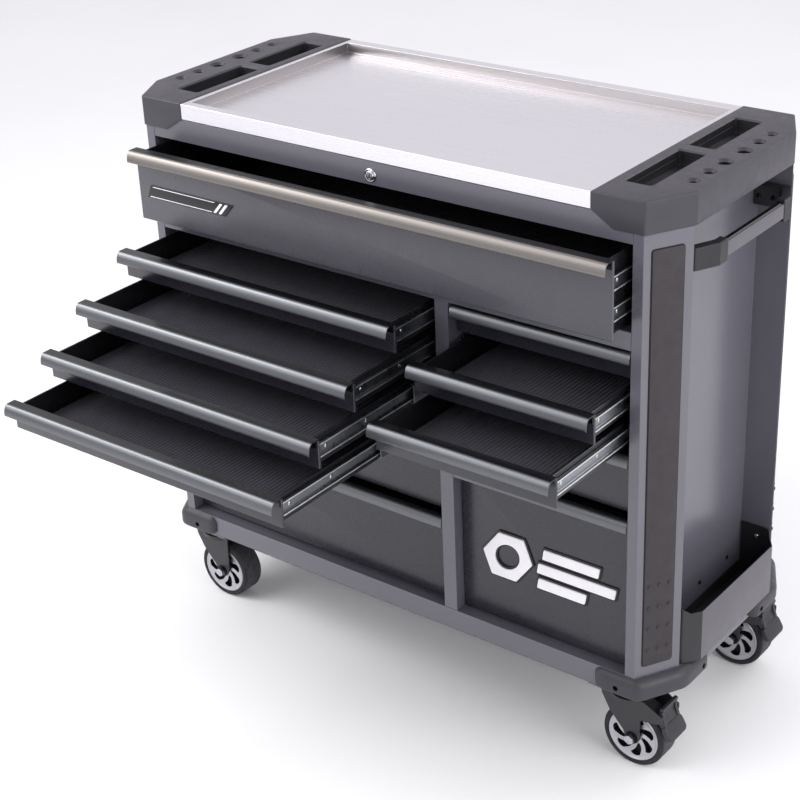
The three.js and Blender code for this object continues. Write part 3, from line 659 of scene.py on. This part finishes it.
def bumper(corner, sx, sy):
    """A pillow-edged bar that wraps the foot of a corner post, swept along its plan path."""
    wall_x = BODY_X + 0.3
    wall_y = -BODY_Y - 0.3
    inner = [(464, wall_y), (544.6, wall_y), (wall_x, -170.4), (wall_x, -86)]
    outer = [(464, -261), (560, -261), (608, -174), (608, -86)]
    # The section, as a share of the depth from inner to outer and a height.
    section = [(0.0, 177), (0.55, 177), (0.8, 177.8), (0.95, 179.8), (1.0, 183.5), (1.0, 199)]
    section += [(0.96, 204), (0.84, 208.6), (0.62, 212.4), (0.36, 215.4), (0.0, 217.8)]
    middle = 197.0
    ease = 18.0  # length over which an end swells to the full section
    bend = 15.0  # how far from a corner the outer path starts to turn
    root_bend = 9.0

    def swell(share):
        return max(0.06, math.sqrt(max(0.0, 1 - (1 - share) ** 2)))

    stations = []
    for turn in quarter_turn(6):
        share = math.sin(turn)
        root, tip = [(x + ease * share, y) for x, y in (inner[0], outer[0])]
        stations.append((root, tip, swell(share)))
    for k in (1, 2):
        here = Vector(outer[k])
        start = here + (Vector(outer[k - 1]) - here).normalized() * bend
        end = here + (Vector(outer[k + 1]) - here).normalized() * bend
        for step in range(7):
            t = step / 6
            point = start * (1 - t) ** 2 + here * 2 * t * (1 - t) + end * t ** 2
            near = Vector(inner[k])
            toward = Vector(inner[k - 1]) if t < 0.5 else Vector(inner[k + 1])
            root = near + (toward - near).normalized() * root_bend * abs(1 - 2 * t)
            stations.append((tuple(root), tuple(point), 1.0))
    for turn in quarter_turn(6):
        share = math.cos(turn)
        root, tip = [(x, y - ease * share) for x, y in (inner[3], outer[3])]
        stations.append((root, tip, swell(share)))
    rings = []
    for root, tip, depth in stations:
        ring = []
        for share, z in section:
            x, y = Vector(root).lerp(Vector(tip), share * depth)
            ring.append((sx * x, -sy * y, middle + (z - middle) * (0.45 + 0.55 * depth)))
        rings.append(ring)
    body = bmesh.new()
    loft(body, rings)

    # A screw in each face, sunk in its own hole.
    height = 191.0
    front_x = 512.0
    side_y = 112.0
    hole = 5.2
    head = 4.2
    cutter = bmesh.new()
    disc(cutter, (sx * front_x, 0, height), "y", hole, sy * 270, sy * 252.5, 20)
    disc(cutter, (0, sy * side_y, height), "x", hole, sx * 615, sx * 596, 20)

    def paint(face):
        """Paints shade in the screw holes with black."""
        centre = face.calc_center_median()
        from_front = Vector((centre.x, centre.z)) - Vector((sx * front_x, height))
        from_side = Vector((centre.y, centre.z)) - Vector((sy * side_y, height))
        near = min(from_front.length, from_side.length) < hole + 0.1
        return 1 if near and face.calc_area() < 100 else 0

    name = f"bumper_{corner}"
    carved = carve(body, cutter)
    materials = [BUMPER_PLASTIC, HOLE_PAINTED_SHADE]
    piece(f"{name}_moulding", carved, "cabinet", materials, 0, 2, (name,), paint, 40)
    heads = bmesh.new()
    disc(heads, (sx * front_x, 0, height), "y", head, sy * 252.6, sy * 255, 16, 0.8)
    disc(heads, (0, sy * side_y, height), "x", head, sx * 596.2, sx * 599, 16, 0.8)
    piece(f"{name}_screws", heads, "cabinet", WASHER)


# ---- side handle and tray


def screw(bm, matrix, radius, height, socket=0.5):
    """A button-head screw, looking along its own +Z, with a hexagonal socket."""
    start = len(bm.verts)
    steps = 24
    flat = math.pi / 3
    profile = [(radius, 0), (radius, height * 0.35), (radius * 0.86, height * 0.75), (radius * 0.6, height)]
    rows = [[(p, q, level) for p, q in circle(reach, steps)] for reach, level in profile]
    for level in (height, height - 1.4):
        ring = []
        for k in range(steps):
            turn = 2 * math.pi * k / steps
            within = turn % flat - flat / 2
            reach = radius * socket * math.cos(flat / 2) / math.cos(within)
            ring.append((*turned(reach, 0, turn), level))
        rows.append(ring)
    loft(bm, rows)
    shift(bm, start, matrix)


def facing_matrix(origin, direction):
    """Places a shape at a point, with its own +Z along a direction."""
    matrix = Vector(direction).to_track_quat("Z", "Y").to_matrix().to_4x4()
    matrix.translation = Vector(origin)
    return matrix


def side_handle():
    """The push handle: a dark core with a grey outer face, between two screwed brackets."""
    for end in ("front", "rear"):
        refine(f"handle_bracket_{end}", "cabinet", BRACKET_PLASTIC, 2.4, 3)
    (x0, x1), (y0, y1), (z0, z1) = extent("handle_bar")
    core = bmesh.new()
    prism(core, rounded(rectangle((x0, x1 - 1.6), (z0, z1)), 5, 5), "y", y0, y1)
    piece("handle_bar_core", core, "cabinet", TRIM_BLACK, 0.4, 1, ("handle_bar",))
    face = bmesh.new()
    prism(face, rounded(rectangle((x1 - 3, x1), (z0 + 2.5, z1 - 2.5)), 1.4, 4), "y", y0 + 0.2, y1 - 0.2)
    piece("handle_bar_face", face, "cabinet", TRAY_GREY, 0.3, 1)
    screws = bmesh.new()
    bracket_face = 149.9
    for sy in (-1, 1):
        for x in (536.6, 564):
            screw(screws, facing_matrix((x, sy * bracket_face, 997), (0, -sy, 0)), 4.2, 2.4)
    piece("handle_bracket_screws", screws, "cabinet", WASHER)


def side_tray():
    """The folded tray in the side recess, with its screws."""
    outer_face = 611.5
    end_wall = 165.9

    def paint(face):
        """Gives the outermost face the tray's grey; every other face, the slanted wall, the inside and the
        ears, takes a near-black that paints the shade they show.
        """
        return 1 if face.normal.x > 0.9 and face.calc_center_median().x > outer_face else 0

    refine("side_tray", "cabinet", [TRAY_PAINTED_SHADE, TRAY_GREY], 0.9, 2, paint)
    screws = bmesh.new()
    for sy in (-1, 1):
        screw(screws, facing_matrix((562.5, sy * end_wall, 310), (0, -sy, 0)), 4.6, 2.6)
    piece("side_tray_screws", screws, "cabinet", SCREW)
    fixings = bmesh.new()
    for y in (-106, 12, 118):
        screw(fixings, facing_matrix((RECESS_X, y, 275), (1, 0, 0)), 4.2, 2.4)
    piece("side_tray_fixings", fixings, "cabinet", WASHER)


# ---- lock


def lock():
    """A key cylinder with its cam behind it, in a chrome bezel."""
    _, (front, _), _ = extent("lock_cylinder")
    height = 1058.0
    barrel = bmesh.new()
    radii_depths = [(0, 30), (9, 30), (9, 1.2), (8.6, 0.4), (7.8, 0), (0, 0)]
    profile = [(radius, front + depth) for radius, depth in radii_depths]
    lathe(barrel, profile, (0, 0, height), "y", 36, closed=False)
    prism(barrel, rectangle((-6, 6), (height - 13, height)), "y", front + 24.2, front + 26.8)
    keyway = bmesh.new()
    key = rounded(rectangle((-1.1, 1.1), (height - 4.6, height + 4.6)), 0.9, 3)
    prism(keyway, key, "y", front - 1, front + 4)
    ring = bmesh.new()
    groove = [(5.6, front - 1), (6.2, front - 1), (6.2, front + 0.6), (5.6, front + 0.6)]
    lathe(ring, groove, (0, 0, height), "y", 36)

    def paint(face):
        """Paints shade in the keyway with black."""
        centre = face.calc_center_median()
        return 1 if abs(centre.x) < 1.2 and abs(centre.z - height) < 4.8 and centre.y > front + 0.2 else 0

    carved = carve(barrel, keyway, ring)
    piece("lock_barrel", carved, "lock", [CHROME, HOLE_PAINTED_SHADE], 0, 2, ("lock_cylinder",), paint)
    bezel = bmesh.new()
    radii_depths = [(9.3, 1), (12.6, 1), (12.8, -0.4), (12.2, -1.6), (10.8, -2.3), (9.7, -2), (9.3, -1)]
    lathe(bezel, [(radius, depth - BODY_Y) for radius, depth in radii_depths], (0, 0, height), "y", 40)
    piece("lock_bezel", bezel, "cabinet", CHROME)


# ---- drawers

SHUT_FACE = -227.3  # y of a shut drawer's front panel
RAIL_FRONT = -221.3  # y of the middle rails' front ends, until a drawer draws them along


def grip_arc(depth, drop):
    """A quarter of an ellipse, from the grip's top edge down to its front."""
    return [(-14.5 - depth * math.sin(turn), -20 + drop * math.cos(turn)) for turn in quarter_turn(14)]


# Sections of the grip and of the cover behind it, as (y, z) from the top edge of the drawer's face.
GRIP = grip_arc(10.2, 20) + [(-24.5, -21.3), (-23.6, -22), (-22.6, -21.2)] + grip_arc(8.1, 17.7)[::-1]
COVER = [(4, -0.6), (3.4, 0), (-14.4, 0), (-14.4, -2.3), (-4.2, -2.4), (-4.2, -15.6)]
COVER += [(-0.6, -15.6), (-0.6, -14), (-2.6, -14), (-2.6, -2.4), (4, -2.4)]


def drawer_front(name, x, face, bottom, top, material):
    """The flat panel on a drawer's face."""
    bm = bmesh.new()
    outline = rounded(rectangle(x, (bottom, top - 2.7)), 2.2, 4)
    slab(bm, outline, "y", face + 4.6, face, 1.4)
    piece(f"{name}_front", bm, name, material)


def drawer_handle(name, x, face, top, strip, cover):
    """The full-width grip along a drawer's top edge, and the dark strip between it and the panel."""
    grip = bmesh.new()
    prism(grip, [(face + y, top + z) for y, z in GRIP], "x", *x)
    piece(f"{name}_grip", grip, name, strip, 0.3, 1, (f"{name}_handle",), None, 30)
    cover_strip = bmesh.new()
    prism(cover_strip, [(face + y, top + z) for y, z in COVER], "x", *x)
    piece(f"{name}_grip_cover", cover_strip, name, cover, 0.3, 1)


def drawer_box(name, x, y, bottom, top):
    """A folded sheet box with hemmed rims, and its ribbed liner mat."""
    sheet = 1.5
    hem = 4.2
    floor = bottom + sheet
    # From the outer foot, over the rim to the inner foot: distance inward and height.
    profile = [(0, bottom), (0, top - 0.9), (0.9, top), (hem - 0.9, top), (hem, top - 0.9), (hem, top - 8)]
    profile += [(sheet, top - 8.6), (sheet, floor + 2.5), (sheet + 2.5, floor)]
    outer = rectangle(x, y)
    bm = bmesh.new()
    loft(bm, [[(p, q, z) for p, q in inset(outer, distance)] for distance, z in profile])
    piece(f"{name}_box", bm, name, BOX_BLACK, 0.3, 1, (name,))

    mat = bmesh.new()
    edge = sheet + 3
    pitch = 8.0
    low, base, rib = floor + 0.1, floor + 1.5, floor + 2.5
    count = int((x[1] - x[0] - 2 * edge) / pitch)
    start = (x[0] + x[1]) / 2 - count * pitch / 2
    section = [(start, low)]
    for k in range(count):
        left = start + k * pitch
        section += [(left, base), (left + 2.6, base), (left + 3.3, rib)]
        section += [(left + 6.7, rib), (left + 7.4, base)]
    section += [(start + count * pitch, base), (start + count * pitch, low)]
    prism(mat, section, "y", y[0] + edge, y[1] - edge)
    piece(f"{name}_liner", mat, name, LINER_RUBBER)


def channel(side, web, tip, half, thick):
    """Section (x, z) of a C-shaped rail with its web at web and its flanges reaching to tip."""
    inner = web + side * thick
    lip = half - thick
    bend = 1.0
    top_half = [(web, half - bend), (web + side * bend, half), (tip, half), (tip, lip)]
    top_half += [(inner + side * bend, lip), (inner, lip - bend)]
    return top_half + [(p, -q) for p, q in reversed(top_half)]


def drawer_slides(name, x, y, travel, heights):
    """Inner rails on the box's sides, and the middle rails between them and the cabinet's rails."""
    rail = bmesh.new()
    rivets = bmesh.new()
    middle = bmesh.new()
    depth = 8  # how far an inner rail stands off the box
    lag = 255.0  # how far a drawer opens before it draws its middle rails along
    # The drawer carries its middle rails, so they are short enough to clear the cabinet's back when it shuts.
    length = min(440.0, 465.0 - min(travel, lag))
    start = RAIL_FRONT - max(0.0, travel - lag)
    for wall, side in ((x[0], -1), (x[1], 1)):
        tip = wall + side * depth
        for z in heights:
            section = channel(side, wall, tip, 13, 2.8)
            prism(rail, [(p, q + z) for p, q in section], "y", *y)
            stop = rectangle((wall + side * 0.4, tip), (z - 12.6, z + 12.6))
            prism(rail, stop, "y", y[0] + 0.2, y[0] + 3.2)
            section = channel(-side, wall + side * 13.2, wall + side * 4.4, 18.2, 1.3)
            prism(middle, [(p, q + z) for p, q in section], "y", start, start + length)
            for share in (0.06, 0.3, 0.62, 0.93):
                along = y[0] + (y[1] - y[0]) * share
                screw(rivets, facing_matrix((wall + side * 1.4, along, z), (side, 0, 0)), 4.4, 2.0, 0.4)
    tips = [x[0] - depth, x[1] + depth]

    def paint(face):
        """Paints a highlight on the flanges' edges with a brighter zinc."""
        return 1 if min(abs(face.calc_center_median().x - tip) for tip in tips) < 0.2 else 0

    piece(f"{name}_slide_inner", rail, name, [ZINC, SLIDE_EDGE_PAINTED_HIGHLIGHT], 0.3, 1, (), paint)
    piece(f"{name}_slide_rivets", rivets, name, SCREW)
    piece(f"{name}_slide_middle", middle, name, ZINC, 0.3, 1)


def drawers():
    """Every drawer, made where its CAD node stands. The wide top drawer has two slides on each side."""
    for name in [node for node in NODES if "drawer" in node and not node.endswith("_handle")]:
        x, (face, back), (bottom, _) = extent(name)
        top = extent(f"{name}_handle")[2][1]
        shades = (PANEL_DARK, TRIM_STRIP, TRIM_BLACK)
        heights = [top - (46 if top - bottom > 80 else 27)]
        if name == "top_drawer":
            shades = (TOP_FRONT, TRIM_GOLD, TRIM_TOP)
            heights = [top - 46, top - 100]
        box_x = (x[0] + 13, x[1] - 13)
        drawer_front(name, x, face, bottom, top, shades[0])
        drawer_handle(name, x, face, top, *shades[1:])
        drawer_box(name, box_x, (face + 4.2, back), bottom + 2, top - 5)
        drawer_slides(name, box_x, (face + 5, back), SHUT_FACE - face, heights)


# ---- badges


def badge():
    """A slanted name-plate blank with two thin lines and two slanted stripes."""
    name = "top_drawer"
    face = extent(name)[1][0]
    low, high = 939.5, 965.0
    slant = 11.0 / (high - low)
    plate = bmesh.new()
    outline = [(-501, low), (-302, low), (-279, high), (-490, high)]
    slab(plate, rounded(outline, 1.5, 3), "y", face, face - 1.6, 0.5)
    piece("badge_plate", plate, name, TRIM_BLACK)
    lines = bmesh.new()
    for z0, z1 in ((low + 2.2, low + 3.6), (high - 3.6, high - 2.2)):
        shift0 = slant * (z0 - low)
        shift1 = slant * (z1 - low)
        line = [(-494 + shift0, z0), (-336 + shift0, z0), (-336 + shift1, z1), (-494 + shift1, z1)]
        slab(lines, line, "y", face - 1.4, face - 2.2, 0.3)
    for left in (-331, -318):
        stripe = [(left, low + 2.5), (left + 7, low + 2.5), (left + 25, high - 2.5), (left + 18, high - 2.5)]
        slab(lines, stripe, "y", face - 1.4, face - 2.4, 0.4)
    piece("badge_lines", lines, name, EMBLEM_WHITE)


def emblem():
    """A raised nut ring and three bars, cut on a slant, on the large lower drawer."""
    name = "right_drawer_5"
    face = extent(name)[1][0]
    lean = 0.18
    centre = (262.0, 364.0)
    nut = circle(54, 6, centre)
    bore = circle(27, 36, centre)
    half = 10.5  # half height of a bar
    spacing = 32

    def leaning(points):
        return [(x + (z - centre[1]) * lean, z) for x, z in points]

    bars = []
    for k, ends in enumerate(((334, 452), (328, 492), (334, 436))):
        z = centre[1] + spacing - spacing * k
        bars.append(rectangle(ends, (z - half, z + half)))
    # The first layer is a black sheet 4 mm wider than the white face, and its rim round the white paints the
    # emblem's shadow.
    layers = (("painted_shadow", TRIM_BLACK, 4.0, 0.0, -2.4, 0.5), ("face", EMBLEM_WHITE, 0.0, -2.2, -5.0, 0.9))
    for part, material, grow, low, high, edge in layers:
        ring = bmesh.new()
        slab(ring, leaning(rounded(inset(nut, -grow), 5, 4)), "y", face + low, face + high, edge)
        hole = bmesh.new()
        prism(hole, leaning(inset(bore, grow)), "y", face + 2, face - 9)
        layer = carve(ring, hole)
        for bar in bars:
            slab(layer, leaning(rounded(inset(bar, -grow), 3, 3)), "y", face + low, face + high, edge)
        piece(f"emblem_{part}", layer, name, material)


# ---- casters

AXLE_Z = 63.5
TRAIL = 17  # how far the axle stands from the swivel's own axis
PLATE_Z = 169.5  # where the seat plates' bolt heads start


def mirrored(profile):
    """A profile of (radius, height) followed by its mirror image."""
    return profile + [(radius, -height) for radius, height in reversed(profile)]


def spoke_window(turn):
    """A swept opening between two spokes, from the hub to its rounded tip."""
    samples = 10
    near, far = [], []
    for i in range(samples + 1):
        share = i / samples
        reach = 17.0 + 18.8 * share
        lean = turn - math.radians(30) * share
        half = 2.0 + 8.4 * share ** 0.8
        near.append(turned(reach, half, lean))
        far.append(turned(reach, -half, lean))
    tip = []
    for i in range(1, samples):
        around = math.pi / 2 - math.pi * i / samples
        tip.append(turned(reach + half * math.cos(around) * 0.75, half * math.sin(around), lean))
    return near + tip + far[::-1]


def wheel(spot, centre):
    """A rubber tyre on a silver disc with seven openings cut in each face."""
    body = f"caster_wheel_{spot}"
    tyre = bmesh.new()
    radius, half = 63.4, 24.8
    shoulder = 5
    profile = [(52.2, 1.6 - half), (53, 0.3 - half), (54.4, -half), (57.8, 0.1 - half)]
    for turn in quarter_turn(6):
        across = 5.2 - half - shoulder * math.cos(turn)
        profile.append((radius - shoulder + shoulder * math.sin(turn), across))
    profile.append((radius, -6))
    lathe(tyre, mirrored(profile), centre, "y", 72)
    piece(f"tyre_{spot}_rubber", tyre, body, TYRE, 0, 2, (f"tyre_{spot}",), None, 50)

    solid = bmesh.new()
    profile = [(6.4, -25.4), (12.4, -25.4), (13.6, -24.6), (15.6, -23.4), (44, -22.6)]
    profile += [(47.4, -23.6), (49.2, -24.8), (51.2, -24.6), (51.8, -23.6)]
    lathe(solid, mirrored(profile), centre, "y", 96)
    cutter = bmesh.new()
    windows = 7
    for k in range(windows):
        shape = [(centre[0] + p, centre[2] + q) for p, q in spoke_window(2 * math.pi * k / windows)]
        for low, high in ((-30, -12), (12, 30)):
            prism(cutter, shape, "y", centre[1] + low, centre[1] + high)

    def paint(face):
        """Paints shade on the openings' walls with black."""
        middle = face.calc_center_median()
        return 1 if abs(middle.y - centre[1]) < 19 and (middle - Vector(centre)).length < 48 else 0

    carved = carve(solid, cutter)
    shades = [RIM_SILVER, HOLE_PAINTED_SHADE]
    piece(f"rim_{spot}_disc", carved, body, shades, 0, 2, (f"rim_{spot}",), paint, 30)


def fork(spot, centre):
    """The swivel fork, its bright axle ends and a washer under each."""

    def paint(face):
        middle = face.calc_center_median()
        near = math.hypot(middle.x - centre[0], middle.z - centre[2]) < 10
        return 1 if near and abs(middle.y - centre[1]) > 30.7 else 0

    body = f"caster_fork_{spot}"
    refine(f"fork_{spot}", body, [FORK_BLACK, SCREW], 1.0, 2, paint)
    washers = bmesh.new()
    for sign in (-1, 1):
        profile = [(9.4, sign * 30.4), (12.6, sign * 30.4), (12.4, sign * 31.8), (9.4, sign * 31.9)]
        lathe(washers, profile, centre, "y", 32)
    piece(f"fork_{spot}_washers", washers, body, WASHER)


def caster_bolts(spot, x, y):
    """The four bolts that hold a caster under the cabinet."""
    bm = bmesh.new()
    reach = 34
    for dx in (-reach, reach):
        for dy in (-reach, reach):
            screw(bm, facing_matrix((x + dx, y + dy, PLATE_Z), (0, 0, -1)), 5.5, 3.5)
    piece(f"caster_bolts_{spot}", bm, "cabinet", SCREW)


def brake(spot, centre):
    """A brake's rocker, two cheeks joined by a web and a lip, and the slanted pad that is pressed."""
    body = f"brake_{spot}"
    rocker = bmesh.new()
    cheek = [(52.4, 121.6), (55, 142), (60.5, 143), (61.6, 128), (67.4, 111), (60, 103.5), (53.4, 112)]
    lip = [(53.6, 139), (55, 147), (61.8, 147.6), (62.6, 142), (60.2, 140)]
    web = [(54, 112), (55, 141), (58, 141), (59, 125), (66, 111), (60.4, 104.5)]
    near, far = 18.8, 25.8
    for outline, low, high in ((cheek, -far, -near), (cheek, near, far), (lip, -far, far), (web, -20, 20)):
        shape = [(centre[0] + x, z) for x, z in rounded(outline, 1.6, 3)]
        prism(rocker, shape, "y", centre[1] + low, centre[1] + high)
    piece(f"brake_{spot}_rocker", rocker, body, PEDAL_PLASTIC, 0.8, 2)

    pad = bmesh.new()
    outline = rounded(rectangle((-31, 31), (-17, 17)), 12, 8)
    slab(pad, outline, "z", -5.5, 5.5, 4, True)
    down = Vector((15.5, 0, -27)).normalized()
    across = Vector((0, 1, 0))
    out = down.cross(across)
    matrix = Matrix((across, down, out)).transposed().to_4x4()
    matrix.translation = Vector((centre[0] + 70.5, centre[1], 95.5))
    shift(pad, 0, matrix)
    node = f"brake_pedal_{spot}"
    piece(f"brake_{spot}_pad", pad, body, PEDAL_PLASTIC, 0, 2, (node,))


def casters():
    for spot in CORNERS:
        (x0, x1), (y0, y1), _ = extent(f"tyre_{spot}")
        centre = ((x0 + x1) / 2, (y0 + y1) / 2, AXLE_Z)
        wheel(spot, centre)
        fork(spot, centre)
        caster_bolts(spot, centre[0] - TRAIL, centre[1])
        if f"brake_pedal_{spot}" in NODES:
            brake(spot, centre)


# ---- assembly

cabinet()
for cap_side in (-1, 1):
    end_cap(cap_side)
corner_strips()
for corner_name, (corner_x, corner_y) in CORNERS.items():
    bumper(corner_name, corner_x, corner_y)
side_handle()
side_tray()
lock()
drawers()
badge()
emblem()
casters()

# ---- floor, light and camera


def floor():
    """A wide pale floor under the wheels."""
    s = Surface("studio_floor", 0.6)
    s.colour(s.ramp(s.noise(1.5, 2.0), [(0.3, linear("f8f8f9")), (0.7, linear("fbfbfb"))]))
    s.gloss(s.noise(20.0, 3.0), 0.55, 0.65)
    bm = bmesh.new()
    reach = 14.0
    corners = [bm.verts.new((x * reach, y * reach, 0)) for x, y in ((-1, -1), (1, -1), (1, 1), (-1, 1))]
    bm.faces.new(corners)
    obj = object_of("studio_floor", bm)
    obj.data.materials.append(s.material)


def softbox(name, place, aim, width, height, power):
    """A rectangular area light at a place, looking at an aim."""
    data = bpy.data.lights.new(name, "AREA")
    data.shape = "RECTANGLE"
    data.size = width
    data.size_y = height
    data.energy = power
    obj = bpy.data.objects.new(name, data)
    obj.location = place
    obj.rotation_euler = (Vector(aim) - Vector(place)).to_track_quat("-Z", "Y").to_euler()
    bpy.context.scene.collection.objects.link(obj)


def lights():
    """A pale surround, and four softboxes."""
    world = bpy.data.worlds.new("studio")
    world.use_nodes = True
    background = world.node_tree.nodes["Background"]
    background.inputs["Color"].default_value = (0.98, 0.965, 1.01, 1.0)
    background.inputs["Strength"].default_value = 0.85
    bpy.context.scene.world = world
    middle = (0.0, 0.2, 0.6)
    softbox("key", (-2.2, -2.4, 3.0), middle, 3.6, 3.6, 88)
    softbox("left_fill", (-1.7, -1.0, 2.1), (-0.6, -0.1, 1.0), 0.9, 0.9, 16)
    softbox("side", (3.4, -0.2, 2.0), middle, 2.4, 2.6, 62)
    softbox("rear", (2.2, 3.0, 2.8), middle, 2.4, 1.6, 25)


def camera():
    """Looks down on the chest's front and its handle side."""
    data = bpy.data.cameras.new("camera")
    data.lens = 79.7
    data.sensor_width = 36.0
    data.clip_end = 60.0
    obj = bpy.data.objects.new("camera", data)
    right = Vector((0.79148, 0.60980, -0.04112)).normalized()
    forward = Vector((-0.55919, 0.69536, -0.45142)).normalized()
    back = -forward
    up = back.cross(right).normalized()
    right = up.cross(back)
    matrix = Matrix((right, up, back)).transposed().to_4x4()
    matrix.translation = CENTRE + Vector((1847.6, -2495.4, 2091.2)) * MM
    obj.matrix_world = matrix
    bpy.context.scene.collection.objects.link(obj)
    bpy.context.scene.camera = obj


floor()
lights()
camera()
bpy.context.scene.view_settings.view_transform = "Standard"
